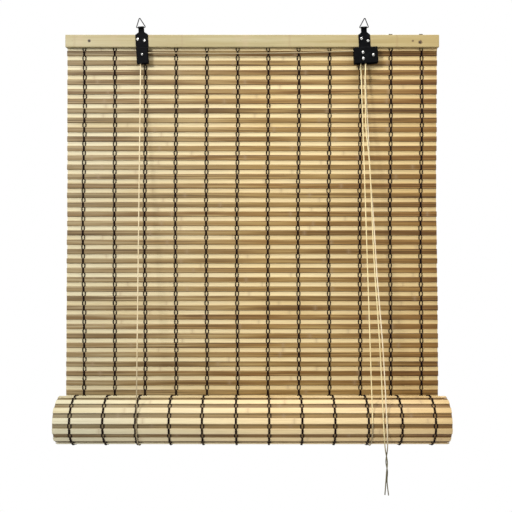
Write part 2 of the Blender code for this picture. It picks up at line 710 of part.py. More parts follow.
def make_pull_cords():
    depths = (PULLEY_FRONT_Y, PULLEY_BACK_Y)
    for n, (y, route) in enumerate(zip(depths, PULL_ROUTES)):
        start = exit_point(RIGHT, LOCK_PULLEY, 1, y)
        knots = [start - Vector((0, 0, GAP / 2)), start - Vector((0, 0, 4 * CORD_RADIUS))]
        cord(f"pull_cord_{n + 1}", smooth_route(knots + list(route), PULL_POINTS), look=CORD)


# ----------------------------------------------------------------------- build

clear_scene()
PARTS = new_collection(NAME)
CUTTERS = new_collection("cutters")

PALE_BAMBOO = principled("pale_bamboo", (0.78, 0.62, 0.36), 0.55)
BROWN_BAMBOO = principled("brown_bamboo", (0.42, 0.25, 0.12), 0.55)
DARK_THREAD = principled("dark_thread", (0.03, 0.015, 0.015), 0.85)
CORD = principled("cord", (0.72, 0.62, 0.42), 0.85)
BLACK_PAINT = principled("black_paint", (0.012, 0.012, 0.014), 0.35)
BRIGHT_STEEL = principled("bright_steel", (0.62, 0.62, 0.62), 0.3, 1.0)
DARK_STEEL = principled("dark_steel", (0.08, 0.08, 0.085), 0.35, 1.0)

RIVETS = ((LEFT_PULLEY,), (LOCK_PULLEY, CAM_PIVOT, STOP_RIVET))
CASE_INNER = (
    PULLEY_BACK_Y - PULLEY_THICKNESS / 2 - GAP,
    PULLEY_FRONT_Y - PULLEY_THICKNESS / 2 - GAP,
)
BRACKETS = [
    add(f"bracket_{word}", None, place=(hook, 0, 0), turn=(0, BRACKET_TILT, 0))
    for word, hook in (("left", -HOOK_HALF_SPAN), ("right", HOOK_HALF_SPAN))
]
bpy.context.view_layer.update()

make_panel(make_rail())
make_warps()
make_roll()
for hand in (LEFT, RIGHT):
    make_plate(hand)
    make_cover(hand)
    make_screws(hand)
    make_rivets(hand)
make_pulley("pulley_left", LEFT, LEFT_PULLEY, PULLEY_BACK_Y)
make_pulley("lock_pulley_rear", RIGHT, LOCK_PULLEY, PULLEY_BACK_Y)
make_pulley("lock_pulley_front", RIGHT, LOCK_PULLEY, PULLEY_FRONT_Y)
make_cam()
make_lift_cords()
make_turned_cords()
make_pull_cords()
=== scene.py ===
"""The looks of the bamboo roller blind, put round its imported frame.

Metres, +Z up, +X to the right as seen from the room, and the room lies towards -Y.
The sheet of slats is one run of distances, measured down from its top edge: it hangs
flat as far as SHEET_HANGS and then winds into the roll.
"""
import json
import math
import random

import bmesh
import bpy
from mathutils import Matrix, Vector, noise


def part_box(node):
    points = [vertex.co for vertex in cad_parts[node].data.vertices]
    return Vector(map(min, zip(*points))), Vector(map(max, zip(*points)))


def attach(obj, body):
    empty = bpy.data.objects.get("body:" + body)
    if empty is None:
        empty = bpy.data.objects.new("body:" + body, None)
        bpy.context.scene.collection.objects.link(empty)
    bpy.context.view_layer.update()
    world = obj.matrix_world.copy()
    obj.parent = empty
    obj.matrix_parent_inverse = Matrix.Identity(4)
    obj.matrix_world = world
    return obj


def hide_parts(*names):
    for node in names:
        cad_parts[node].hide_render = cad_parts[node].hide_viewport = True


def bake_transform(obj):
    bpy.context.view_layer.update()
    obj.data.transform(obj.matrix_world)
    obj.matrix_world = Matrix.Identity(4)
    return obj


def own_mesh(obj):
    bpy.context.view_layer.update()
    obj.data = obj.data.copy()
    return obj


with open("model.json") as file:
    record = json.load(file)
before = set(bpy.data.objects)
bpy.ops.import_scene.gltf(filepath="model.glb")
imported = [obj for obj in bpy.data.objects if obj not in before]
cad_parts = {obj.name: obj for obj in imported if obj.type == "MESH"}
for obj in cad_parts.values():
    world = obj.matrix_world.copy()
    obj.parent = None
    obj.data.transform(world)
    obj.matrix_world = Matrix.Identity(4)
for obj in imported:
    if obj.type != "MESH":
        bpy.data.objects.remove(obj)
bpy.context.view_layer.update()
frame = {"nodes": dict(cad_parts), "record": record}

JOINTS = {joint["name"]: joint for joint in frame["record"]["behaviour"]["joints"]}
HANDS = ("left", "right")
LEFT, RIGHT = 0, 1

# Slats: light ones in the back layer and brown ones in the front layer, turn and turn about
PAIRS = 40
PAIRS_PER_BAND = 4
BANDS = 10
FIXED_BANDS = 2         # bands that stay flat when the blind is right up
LIGHT_WIDTH = 0.0120
BROWN_WIDTH = 0.0113
SLAT_THICKNESS = 0.0021
SLAT_SHRINK = 0.00008   # each slat is drawn this much thinner on each face
PANEL_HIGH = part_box("slat_band_01")[1]
SHEET_TOP = PANEL_HIGH.z
SHEET_BACK = PANEL_HIGH.y
SHEET_HALF_WIDTH = PANEL_HIGH.x
SHEET_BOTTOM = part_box(f"slat_band_{BANDS:02d}")[0].z
SHEET_HANGS = SHEET_TOP - SHEET_BOTTOM
SLAT_STEP = (SHEET_HANGS - LIGHT_WIDTH) / (2 * PAIRS - 2)
SLAT_CREEP = ((17, 0.0), (75, 0.0105), (89, 0.0020))  # (slat, how far it has crept up)
ROLL_REACH = (0.0050, 0.0062)  # how far the wound slats stand past the hanging ones, by hand
SLAT_JITTER = 0.0005    # how far a slat's end may stand off the sheet's edge
SHEET_FLARE = 0.0050    # how much wider each hand's edge gets towards the roll
LEFT_REACH = 0.0012     # how much further the hanging sheet's left edge stands out
EDGE_DRIFT, EDGE_WAVE = 0.0008, 0.66  # the right edge's slow wander, and its wave's length

# The roll
ROLL_CENTRE = Vector(JOINTS["roll_spin"]["pos_m"])
ROLL_RADIUS = SHEET_BACK - ROLL_CENTRE.y
LAYER_PITCH = 0.0046
DIP_START = 0.75        # share of a turn after which the sheet dips under the turn outside it
ROLL_TURNS = 6.75
ROLL_MARCH = 0.0005

# Warp threads
COLUMNS = 12
COLUMN_PITCH = 0.066
THREAD_RADIUS = 0.00106
CHAIN_HALF = 0.0031     # half the width of a chain stitch's loop
CHAIN_PINCH = 0.0008
THREADED_TURNS = 1.3    # of the roll; further in, no thread is seen
ROLL_SPREAD = 0.0150    # how much further apart the columns are on the roll
ROLL_SHIFT = 0.0009     # and how far they all move to the right there
TAIL_RISES = (          # how far each column's top loop stands above the sheet
    0.0026, 0.0020, 0.0028, 0.0023, 0.0020, 0.0027,
    0.0022, 0.0026, 0.0021, 0.0032, 0.0043, 0.0044,
)

# Cords
CORD_RADIUS = 0.00115
LOOP_X = (-0.232, 0.242)
LOOP_RADIUS = ROLL_RADIUS + 0.002
CROSS_SAG = 0.0035
PULL_POINTS = 78
GAP = 0.0003

# Brackets, each in a frame of its own: x across, z down from its hook
HOOK_HALF_SPAN = 0.2405
BRACKET_TILT = math.radians(-3.0)
CASE_BOTTOM = -0.0965
PULLEY_CORD_RADIUS = 0.0048
LEFT_PULLEY = (0.0021, -0.0776)
LOCK_PULLEY = (-0.0092, -0.0742)
PULLEY_BACK_Y = JOINTS["lock_pulley_rear_spin"]["pos_m"][1]
PULLEY_FRONT_Y = JOINTS["lock_pulley_front_spin"]["pos_m"][1]

# Dark bruises on the rail: nail, how far right of it and above it, reach
NAIL_BRUISES = (
    ("left", 0, 0, 0.0046),
    ("right", 0.001, 0, 0.0054),
    ("right", -0.015, 0.003, 0.0034),
)

# Fasteners and wire rings, placed in their bracket's own frame
POLE = 0.00005                     # radius of the smallest ring of a turned piece
SCREW_PLACES = (
    ((-0.0065, -0.0430), (0.0075, -0.0465)),
    ((-0.0090, -0.0415), (0.0045, -0.0470)),
)
SCREW_HEAD = (0.0028, 0.0019)      # radius, height
RIM_HEIGHT = 0.0002
CROWN_STEPS, CROWN_STEP, CROWN_SPAN = 16, 0.0002, 16.5
SHANK = 0.0015
RECESS_HALF = 0.00048              # half the width of a screw's cross recess
RECESS_REACH = 0.0021              # from the screw's axis
RECESS_DEPTH = 0.0011
RIVET_PLACES = ((LEFT_PULLEY,), (LOCK_PULLEY, (0.0125, -0.0804), (-0.0091, -0.0872)))
RIVET_RADII = (0.0029, 0.0034)
RIVET_HEAD_HEIGHT = 0.0016
RIVET_SWELL = 1.3                  # the drawn heads are this much taller
RIVET_TAIL = (0.0026, 0.0008)      # radius, height
TAIL_ROUND = ((0.0024, 0.6), (0.0016, 0.9), (POLE, 1))  # radius, share of the tail's height
PLATE_SHIFT = (0.0022, -0.0030)
WIRE_RADIUS = 0.0010
RING_WIDTH = 0.0200                # between its base corners, before they are rounded
RING_HEIGHT = 0.0196
RING_CORNER = 0.0013
RING_PIVOT_Z = -RING_HEIGHT + WIRE_RADIUS

# The studio
CAMERA_PLACE = (0.0081, -1.379, -0.5062)
FOCAL_LENGTH, SENSOR_WIDTH = 45.42, 36.0
FLOOR_HEIGHT, FLOOR_RADIUS = -2.36, 3.0

# Routes of the two free pull cords, from the lock down over the roll to their cut ends
PULL_ROUTES = (
    (
        (0.2388, -0.0122, -0.135), (0.2384, -0.0195, -0.185), (0.2386, -0.0262, -0.240),
        (0.2436, -0.0320, -0.300), (0.2462, -0.0392, -0.360), (0.2475, -0.0457, -0.420),
        (0.2488, -0.0522, -0.480), (0.2512, -0.0587, -0.545), (0.2546, -0.0657, -0.610),
        (0.2580, -0.0724, -0.680), (0.2604, -0.0788, -0.745), (0.2618, -0.0838, -0.800),
        (0.2640, -0.0859, -0.850), (0.2664, -0.0869, -0.890), (0.2706, -0.0877, -0.918),
        (0.2690, -0.0881, -0.938), (0.2676, -0.0883, -0.958), (0.2660, -0.0865, -0.984),
    ),
    (
        (0.2402, -0.0078, -0.135), (0.2414, -0.0148, -0.185), (0.2436, -0.0210, -0.240),
        (0.2446, -0.0292, -0.300), (0.2470, -0.0364, -0.360), (0.2504, -0.0432, -0.420),
        (0.2530, -0.0502, -0.480), (0.2556, -0.0572, -0.545), (0.2596, -0.0647, -0.610),
        (0.2640, -0.0717, -0.680), (0.2668, -0.0783, -0.745), (0.2686, -0.0835, -0.800),
        (0.2706, -0.0859, -0.850), (0.2716, -0.0849, -0.890), (0.2688, -0.0829, -0.918),
        (0.2716, -0.0841, -0.938), (0.2706, -0.0849, -0.958), (0.2732, -0.0871, -0.985),
    ),
)


# ------------------------------------------------------------------ mesh tools

class Shape:
    """One piece's mesh while it is gathered, and the values that its material reads.

    grain is a place in the material's own space, which stays with the piece when it
    folds. look and mark hold three shares each, named in slat_look.
    """

    def __init__(self, name):
        self.name = name
        self.points, self.faces = [], []
        self.values = {"grain": [], "look": [], "mark": []}

    def loft(self, rings, grains, looks, marks, closed=False):
        """Joins rings of points, one after the other, and closes the two ends."""
        first, size = len(self.points), len(rings[0])
        for ring, grain, look, mark in zip(rings, grains, looks, marks):
            self.points += ring
            self.values["grain"] += grain
            self.values["look"] += look
            self.values["mark"] += mark
        count = len(rings)
        for i in range(count if closed else count - 1):
            here, there = first + i * size, first + (i + 1) % count * size
            for j in range(size):
                k = (j + 1) % size
                self.faces.append((here + j, here + k, there + k, there + j))
        if not closed:
            self.faces.append(tuple(range(first, first + size))[::-1])
            self.faces.append(tuple(range(first + (count - 1) * size, first + count * size)))

    def make(self, material, crease=50):
        mesh = bpy.data.meshes.new(self.name)
        mesh.from_pydata(self.points, [], self.faces)
        for name, values in self.values.items():
            kept = mesh.attributes.new(name, "FLOAT_VECTOR", "POINT")
            kept.data.foreach_set("vector", [number for value in values for number in value])
        tidy = bmesh.new()
        tidy.from_mesh(mesh)
        bmesh.ops.recalc_face_normals(tidy, faces=tidy.faces)
        tidy.to_mesh(mesh)
        tidy.free()
        mesh.shade_smooth()
        mesh.set_sharp_from_angle(angle=math.radians(crease))
        mesh.materials.append(material)
        made = bpy.data.objects.new(self.name, mesh)
        bpy.context.scene.collection.objects.link(made)
        return made


def smooth_route(points, count):
    """Evenly numbered points on a Catmull-Rom curve through the given ones."""
    knots = [Vector(p) for p in points]
    knots = [2 * knots[0] - knots[1]] + knots + [2 * knots[-1] - knots[-2]]
    spans = len(knots) - 3
    made = []
    for i in range(count):
        at = i * spans / (count - 1)
        k = min(int(at), spans - 1)
        t = at - k
        a, b, c, d = knots[k:k + 4]
        made.append(
            0.5 * (2 * b + (c - a) * t + (2 * a - 5 * b + 4 * c - d) * t * t
                   + (3 * b - a - 3 * c + d) * t * t * t)
        )
    return made


def tube(shape, path, radius, sides=8, closed=False, look=(0, 0, 0), radii=None):
    """A round tube along a path; its grain runs (distance along, round, 0)."""
    path = [Vector(p) for p in path]
    last = len(path) - 1
    side, along = None, 0.0
    rings, grains = [], []
    for i, at in enumerate(path):
        before = path[i - 1] if i or closed else at
        after = path[(i + 1) % len(path)] if i < last or closed else at
        ahead = (after - before).normalized()
        if side is None:
            side = ahead.orthogonal()
        side = (side - ahead * side.dot(ahead)).normalized()
        up = ahead.cross(side)
        along += (at - path[i - 1]).length if i else 0.0
        size = radii[i] if radii else radius
        turns = [math.tau * j / sides for j in range(sides)]
        rings.append([at + (side * math.cos(a) + up * math.sin(a)) * size for a in turns])
        grains.append([(along, radius * math.sin(a), radius * math.cos(a)) for a in turns])
    flat = [[look] * sides] * len(rings)
    shape.loft(rings, grains, flat, [[(0, 0, 0)] * sides] * len(rings), closed)


def on_bracket(side, x, y, z):
    """A point of a bracket's own frame, in the blind's frame."""
    hook = (-HOOK_HALF_SPAN, HOOK_HALF_SPAN)[side]
    turn, lean = math.cos(BRACKET_TILT), math.sin(BRACKET_TILT)
    return Vector((hook + x * turn + z * lean, y, z * turn - x * lean))


# --------------------------------------------------------------- material tools

class Look:
    """A material under way, with short ways to add nodes to it."""

    def __init__(self, name, roughness, metallic=0.0):
        self.material = bpy.data.materials.new(name)
        self.material.use_nodes = True
        self.tree = self.material.node_tree
        self.shader = self.tree.nodes["Principled BSDF"]
        self.set("Roughness", roughness)
        self.set("Metallic", metallic)

    def set(self, socket, value):
        self.put(self.shader.inputs[socket], value)

    def put(self, socket, value):
        if isinstance(value, bpy.types.NodeSocket):
            self.tree.links.new(value, socket)
        else:
            socket.default_value = value

    def node(self, kind, inputs, out=0, **settings):
        made = self.tree.nodes.new("ShaderNode" + kind)
        for name, value in settings.items():
            setattr(made, name, value)
        for key, value in inputs.items():
            self.put(made.inputs[key], value)
        return made.outputs[out]

    def attribute(self, name):
        """A vector that the mesh carries, and its three numbers."""
        vector = self.node("Attribute", {}, "Vector", attribute_name=name)
        return vector, self.split(vector)

    def split(self, vector):
        parts = self.tree.nodes.new("ShaderNodeSeparateXYZ")
        self.put(parts.inputs[0], vector)
        return parts.outputs

    def place(self):
        """Places on a rigid piece, in metres, at rest."""
        return self.node("TexCoord", {}, "Object")

    def noise(self, place, stretch, detail=2.0, distortion=0.0):
        stretched = self.node("Mapping", {"Vector": place, "Scale": stretch})
        return self.node(
            "TexNoise",
            {"Vector": stretched, "Scale": 1.0, "Detail": detail, "Distortion": distortion},
        )

    def span(self, value, low, high, to_low=0.0, to_high=1.0):
        """The value's part from low to high, brought to another span."""
        return self.node("MapRange", {0: value, 1: low, 2: high, 3: to_low, 4: to_high})

    def math(self, operation, a, b=0.0):
        return self.node("Math", {0: a, 1: b}, operation=operation)

    def mix(self, share, a, b, blend="MIX"):
        def colour(value):
            return value if isinstance(value, bpy.types.NodeSocket) else (*value, 1.0)
        return self.node(
            "Mix", {"Factor": share, 6: colour(a), 7: colour(b)}, 2, data_type="RGBA",
            blend_type=blend,
        )

    def bump(self, height, depth, strength=1.0):
        self.set("Normal", self.node(
            "Bump", {"Height": height, "Distance": depth, "Strength": strength}))


# ------------------------------------------------------------------- materials

def slat_look(name, left_painted_shade, right_painted_shade):
    """Bamboo slats: look is (brown, tone, warmth), mark is (knot, edge, back face)."""
    look = Look(name, 0.5)
    look.set("Specular IOR Level", 0.35)
    grain, (x, _, _) = look.attribute("grain")
    _, (brown, tone, warmth) = look.attribute("look")
    _, (knot, edge, back) = look.attribute("mark")
    fibre = look.noise(grain, (28, 2400, 1), 3.0)
    streak = look.noise(grain, (4.5, 520, 1), 2.0)
    blotch = look.noise(grain, (5, 60, 1), 3.0)

    pale = look.mix(tone, (0.70, 0.535, 0.265), (0.86, 0.725, 0.43))
    pale = look.mix(look.span(blotch, 0.35, 0.7), pale, (0.80, 0.665, 0.40))
    pale = look.mix(look.span(streak, 0.52, 0.75, 0.0, 0.45), pale, (0.58, 0.43, 0.22))
    deep = look.mix(tone, (0.130, 0.073, 0.022), (0.36, 0.255, 0.120))
    deep = look.mix(look.math("MULTIPLY", warmth, 0.6), deep, (0.27, 0.135, 0.040))
    deep = look.mix(look.span(blotch, 0.42, 0.62, 0.0, 0.7), deep, (0.37, 0.26, 0.13))
    deep = look.mix(look.span(streak, 0.53, 0.66, 0.0, 0.8), deep, (0.46, 0.35, 0.21))
    deep = look.mix(look.span(streak, 0.47, 0.35, 0.0, 0.75), deep, (0.100, 0.052, 0.015))
    colour = look.mix(brown, pale, deep)

    # Painted light and shade across the width: cooler at the left end, brightest towards the middle,
    # darker and warmer towards the right end.
    to_centre, to_right = look.span(x, -0.34, 0.02), look.span(x, 0.14, 0.38)
    pale_painted_light = look.mix(to_centre, (0.95, 1.05, 1.22), (1.14, 1.15, 1.14))
    pale_painted_light = look.mix(to_right, pale_painted_light, (0.98, 0.91, 0.77))
    deep_painted_light = look.mix(to_centre, (0.86, 0.93, 0.90), (0.97, 0.91, 0.61))
    deep_painted_light = look.mix(to_right, deep_painted_light, (0.71, 0.55, 0.26))
    painted_light_tint = look.mix(brown, pale_painted_light, deep_painted_light)
    colour = look.mix(1.0, colour, painted_light_tint, "MULTIPLY")

    fine = look.mix(look.span(fibre, 0.3, 0.7), (0.86, 0.83, 0.78), (1.06, 1.06, 1.06))
    colour = look.mix(1.0, colour, fine, "MULTIPLY")
    stain = look.mix(brown, (0.46, 0.33, 0.19), (0.34, 0.25, 0.15))
    colour = look.mix(look.math("MULTIPLY", knot, 0.42), colour, stain)
    # Painted shade: each slat is darker towards its long edges, where it meets the next slat.
    rim = look.span(edge, 0.55, 1.0, 0.0, 0.42)
    colour = look.mix(rim, colour, look.mix(1.0, colour, (0.42, 0.34, 0.26), "MULTIPLY"))
    weathered = look.mix(0.12, colour, (0.50, 0.48, 0.40))
    weathered = look.mix(1.0, weathered, (0.93, 0.97, 1.0), "MULTIPLY")
    colour = look.mix(back, colour, weathered)
    # Painted shade: the colour is multiplied by a factor that changes from the left end to the right
    # end.
    shade = look.mix(look.span(x, -0.42, 0.05), left_painted_shade, right_painted_shade)
    colour = look.mix(1.0, colour, shade, "MULTIPLY")
    look.set("Base Color", colour)
    look.set("Roughness", look.span(fibre, 0.2, 0.8, 0.44, 0.62))
    height = look.math("ADD", fibre, look.math("MULTIPLY", streak, 0.8))
    look.bump(height, 0.00022, 0.8)
    return look.material


def rail_look():
    """Planed pale bamboo laths, with a faint grain, node marks and a few specks."""
    look = Look("planed_bamboo", 0.45)
    at = look.place()
    x, _, _ = look.split(at)
    fibre = look.noise(at, (22, 900, 1500), 3.0)
    band = look.noise(at, (3.0, 60, 130), 2.0)
    patch = look.noise(at, (26, 20, 20), 2.0)
    speck = look.noise(at, (170, 120, 420), 1.0)
    colour = look.mix(look.span(band, 0.35, 0.65), (0.375, 0.315, 0.155), (0.435, 0.385, 0.22))
    colour = look.mix(look.span(patch, 0.56, 0.72, 0.0, 0.35), colour, (0.47, 0.36, 0.23))
    fine = look.mix(look.span(fibre, 0.3, 0.7), (0.90, 0.88, 0.84), (1.05, 1.05, 1.04))
    colour = look.mix(1.0, colour, fine, "MULTIPLY")
    node = look.math("PINGPONG", look.math("ADD", x, 1.07), 0.115)
    ring = look.span(node, 0.0012, 0.0035, 0.28, 0.0)
    colour = look.mix(ring, colour, (0.33, 0.235, 0.13))
    colour = look.mix(look.span(speck, 0.74, 0.80, 0.0, 0.6), colour, (0.16, 0.10, 0.05))
    ragged = look.math("MULTIPLY", look.noise(at, (520, 300, 520), 2.0), 0.0034)
    for hand, right, up, reach in NAIL_BRUISES:
        low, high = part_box(f"rail_nail_{hand}")
        nail = ((low.x + high.x) / 2 + right, low.y, (low.z + high.z) / 2 + up)
        away = look.node("VectorMath", {0: at, 1: nail}, "Value", operation="DISTANCE")
        bruise = look.span(look.math("ADD", away, ragged), reach, reach + 0.0012, 0.85, 0)
        colour = look.mix(bruise, colour, (0.09, 0.055, 0.03))
    # Painted light and shade along the rail: darker at the left end, brightest towards the middle,
    # darker and warmer towards the right end.
    painted_light_tint = look.mix(look.span(x, -0.40, 0.0), (0.85, 0.84, 0.84), (0.92, 0.92, 0.93))
    painted_light_tint = look.mix(look.span(x, 0.0, 0.42), painted_light_tint, (0.94, 0.83, 0.65))
    look.set("Base Color", look.mix(1.0, colour, painted_light_tint, "MULTIPLY"))
    look.set("Roughness", look.span(fibre, 0.2, 0.8, 0.38, 0.56))
    look.bump(look.math("ADD", fibre, look.math("MULTIPLY", ring, -2.0)), 0.00012, 0.7)
    return look.material


def twist_height(look, pitch, strands):
    """Ridges of a laid cord: strands that wind round it once in each pitch."""
    _, (along, sine, cosine) = look.attribute("grain")
    turn = look.math("ARCTAN2", sine, cosine)
    phase = look.math("SUBTRACT", look.math("MULTIPLY", turn, strands),
                      look.math("MULTIPLY", along, math.tau * strands / pitch))
    return look.math("ABSOLUTE", look.math("SINE", look.math("MULTIPLY", phase, 0.5)))


def thread_look():
    """Dark waxed warp thread with a red-brown cast."""
    look = Look("dark_thread", 0.75)
    look.set("Specular IOR Level", 0.08)
    grain, _ = look.attribute("grain")
    ridge = twist_height(look, 0.0030, 2.0)
    fuzz = look.noise(grain, (900, 1500, 1500), 2.0)
    # Painted shade: the thread is darker in the grooves between its twisted strands.
    shade = look.mix(ridge, (0.002, 0.0008, 0.001), (0.010, 0.004, 0.004))
    shade = look.mix(look.span(fuzz, 0.5, 0.8, 0, 0.5), shade, (0.022, 0.009, 0.008))
    look.set("Base Color", shade)
    look.bump(look.math("ADD", ridge, look.math("MULTIPLY", fuzz, 0.3)), 0.0003, 0.9)
    return look.material


def cord_look(name, pale, shadow, unchanged_to, darkest_from, darkened):
    """Laid cotton cord of three strands, darkening from one distance along it to another."""
    look = Look(name, 0.82)
    grain, (along, _, _) = look.attribute("grain")
    ridge = twist_height(look, 0.0075, 3.0)
    fibre = look.noise(grain, (700, 2600, 2600), 2.0)
    stain = look.noise(grain, (14, 1, 1), 2.0)
    colour = look.mix(look.span(ridge, 0.0, 0.7), shadow, pale)
    fine = look.mix(look.span(fibre, 0.3, 0.7), (0.88, 0.87, 0.84), (1.04, 1.04, 1.03))
    colour = look.mix(1.0, colour, fine, "MULTIPLY")
    soiled = look.mix(1.0, colour, (0.86, 0.80, 0.70), "MULTIPLY")
    colour = look.mix(look.span(stain, 0.45, 0.75), colour, soiled)
    # The cord darkens between these two distances along it and stays darker beyond them.
    worn = look.span(along, unchanged_to, darkest_from)
    look.set("Base Color", look.mix(worn, colour, look.mix(1.0, colour, darkened, "MULTIPLY")))
    look.bump(look.math("ADD", ridge, look.math("MULTIPLY", fibre, 0.25)), 0.0004, 0.9)
    look.set("Sheen Weight", 0.15)
    return look.material


def metal_look(name, base, worn, roughness, metallic, depth, gloss=0.5):
    """Metal with a fine texture: base is its colour, worn the colour of its rubbed spots."""
    look = Look(name, roughness, metallic)
    at = look.place()
    peel = look.noise(at, (900, 900, 900), 2.0)
    rub = look.noise(at, (160, 160, 160), 4.0, 0.6)
    look.set("Base Color", look.mix(look.span(rub, 0.56, 0.74), base, worn))
    look.set("Roughness", look.span(rub, 0.3, 0.75, roughness * 0.8, roughness * 1.35))
    look.set("Specular IOR Level", gloss)
    look.bump(peel, depth, 0.5)
    return look.material


# ------------------------------------------------------------------- the sheet

def spiral_radius(swept):
    """The rolled sheet's outer radius, swept radians along from where the roll starts."""
    turns, part = divmod(swept / math.tau, 1)
    t = max(0, (part - DIP_START) / (1 - DIP_START))
    return ROLL_RADIUS - LAYER_PITCH * (turns + t * t * (3 - 2 * t))


def roll_angles():
    """Angles swept at even steps of distance along the rolled sheet's middle."""
    angles = [0.0]
    while angles[-1] < ROLL_TURNS * math.tau:
        angles.append(angles[-1] + ROLL_MARCH / (spiral_radius(angles[-1]) - SLAT_THICKNESS))
    return angles


ANGLES = roll_angles()
SHEET_LENGTH = SHEET_HANGS + ROLL_MARCH * (len(ANGLES) - 1)


def sheet_frame(distance):
    """The place on the sheet's back face, with the ways outwards and onwards there."""
    if distance <= SHEET_HANGS:
        place = Vector((0, SHEET_BACK, SHEET_TOP - distance))
        return place, Vector((0, 1, 0)), Vector((0, 0, -1))
    at = min((distance - SHEET_HANGS) / ROLL_MARCH, len(ANGLES) - 1.001)
    low = int(at)
    swept = ANGLES[low] + (at - low) * (ANGLES[low + 1] - ANGLES[low])
    out = Vector((0, math.cos(swept), -math.sin(swept)))
    on = Vector((0, -math.sin(swept), -math.cos(swept)))
    return ROLL_CENTRE + out * spiral_radius(swept), out, on


def slat_distance(number):
    """How far down the sheet the middle of a slat is; the lower ones have crept up a little."""
    first, last = SLAT_CREEP[0], SLAT_CREEP[-1]
    creep = first[1] if number < first[0] else last[1]
    for (low, a), (high, b) in zip(SLAT_CREEP, SLAT_CREEP[1:]):
        if low <= number < high:
            creep = a + (b - a) * (number - low) / (high - low)
    return LIGHT_WIDTH / 2 + number * SLAT_STEP - creep


def column_x(column, distance):
    """A thread column's place across the sheet, with its slow wander down the slats."""
    even = (column - (COLUMNS - 1) / 2) * COLUMN_PITCH
    together = 0.0004 + 0.0010 * math.cos(math.tau * (distance - 0.10) / 0.62)
    wound = min(1, max(0, (distance - SHEET_HANGS) / 0.05))
    spread = wound * (ROLL_SPREAD * even + ROLL_SHIFT)
    return even + together + spread + 0.0016 * noise.noise(Vector((distance * 3.5, column * 2.3, 0)))


def slat_stations(start, end, knots, steps):
    """Places along a slat: even steps, its ends, and closer ones at its knots."""
    even = [start + (end - start) * i / steps for i in range(steps + 1)]
    near = [k + off for k in knots for off in (-0.007, -0.0025, 0, 0.0025, 0.007)]
    clear = [x for x in even[1:-1] if all(abs(x - k) > 0.010 for k in knots)]
    return sorted([start, start + 0.0006, end - 0.0006, end] + clear + near)


def add_slat(shape, number, chance, steps=30):
    """Slat of that number, counted from the top: even ones are light, odd ones brown."""
    brown = number % 2
    distance = slat_distance(number)
    place, out, on = sheet_frame(distance)
    half_width = (BROWN_WIDTH if brown else LIGHT_WIDTH) / 2
    half_depth = SLAT_THICKNESS / 2 - SLAT_SHRINK
    middle = place - out * SLAT_THICKNESS * (1.5 if brown else 0.5)
    drift = EDGE_DRIFT * math.cos(math.tau * distance / EDGE_WAVE)
    wound = number >= 2 * PAIRS - 1
    flare = SHEET_FLARE * max(0, distance / SHEET_HANGS - 0.4)
    reach = ROLL_REACH if wound else (flare + LEFT_REACH, flare + drift)
    start = -SHEET_HALF_WIDTH - reach[LEFT] + chance.uniform(-SLAT_JITTER, SLAT_JITTER)
    end = SHEET_HALF_WIDTH + reach[RIGHT] + chance.uniform(-SLAT_JITTER, SLAT_JITTER)
    tone, warmth = chance.random(), chance.random()
    knots, at = [], start + chance.uniform(0.03, 0.30)
    while at < end - 0.02:
        knots.append(at)
        at += chance.uniform(0.24, 0.36)
    seed = 7.3 * number
    rings, grains, looks, marks = [], [], [], []
    for x in slat_stations(start, end, knots, steps):
        near = min((abs(x - k) for k in knots), default=1)
        knot = max(0, 1 - near / 0.007) ** 2
        cut = 1 if x in (start, end) else 0
        wander = noise.noise(Vector((x * 5, seed, 0))) * 0.00035
        swell = 1 + 0.035 * noise.noise(Vector((x * 9, seed, 4))) + 0.05 * knot - 0.05 * cut
        lift = noise.noise(Vector((x * 6, seed, 8))) * 0.0001
        ring, grain, mark = [], [], []
        for j in range(12):
            a = math.radians(15 + 30 * j)
            c, s = math.cos(a), math.sin(a)
            u = math.copysign(abs(c) ** 0.25, c) * half_width * swell
            v = math.copysign(abs(s) ** 0.5, s) * half_depth * (1 + 0.12 * knot - 0.2 * cut)
            point = middle + on * (u + wander) + out * (v + lift)
            ring.append((x, point.y, point.z))
            grain.append((x, u, seed + (0.6 if s > 0 else 0)))
            mark.append((knot, abs(u) / half_width, (s > 0) * (0.25 if wound else 1)))
        rings.append(ring)
        grains.append(grain)
        looks.append([(brown, tone, warmth)] * 12)
        marks.append(mark)
    shape.loft(rings, grains, looks, marks)


def make_bands(material):
    """The hanging slats, a piece for each band; the lower ones, which fold up as the blind rises,
    get meshes of their own.
    """
    chance = random.Random(11)
    for band in range(BANDS):
        shape = Shape(f"slats_band_{band + 1:02d}")
        first = max(0, 2 * PAIRS_PER_BAND * band - 1)
        for number in range(first, 2 * PAIRS_PER_BAND * (band + 1) - 1):
            add_slat(shape, number, chance)
        piece = shape.make(material)
        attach(piece, "head")
        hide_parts(f"slat_band_{band + 1:02d}")
        if band >= FIXED_BANDS:
            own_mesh(piece)


def make_roll(material):
    """The rolled slats, turn upon turn."""
    chance = random.Random(23)
    shape = Shape("rolled_slats")
    number = 2 * PAIRS - 1
    outer = SHEET_HANGS + math.tau * ROLL_RADIUS * THREADED_TURNS
    while slat_distance(number) < SHEET_LENGTH - LIGHT_WIDTH / 2:
        hidden = slat_distance(number) > outer
        add_slat(shape, number, chance, 6 if hidden else 30)
        number += 1
    piece = shape.make(material)
    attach(piece, "roll")
    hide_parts("rolled_panel")


def thread_point(x, distance, depth):
    """A thread's place at a distance down the sheet and a depth in from its back face."""
    place, out, _ = sheet_frame(distance)
    at = place - out * depth
    return Vector((x, at.y, at.z))


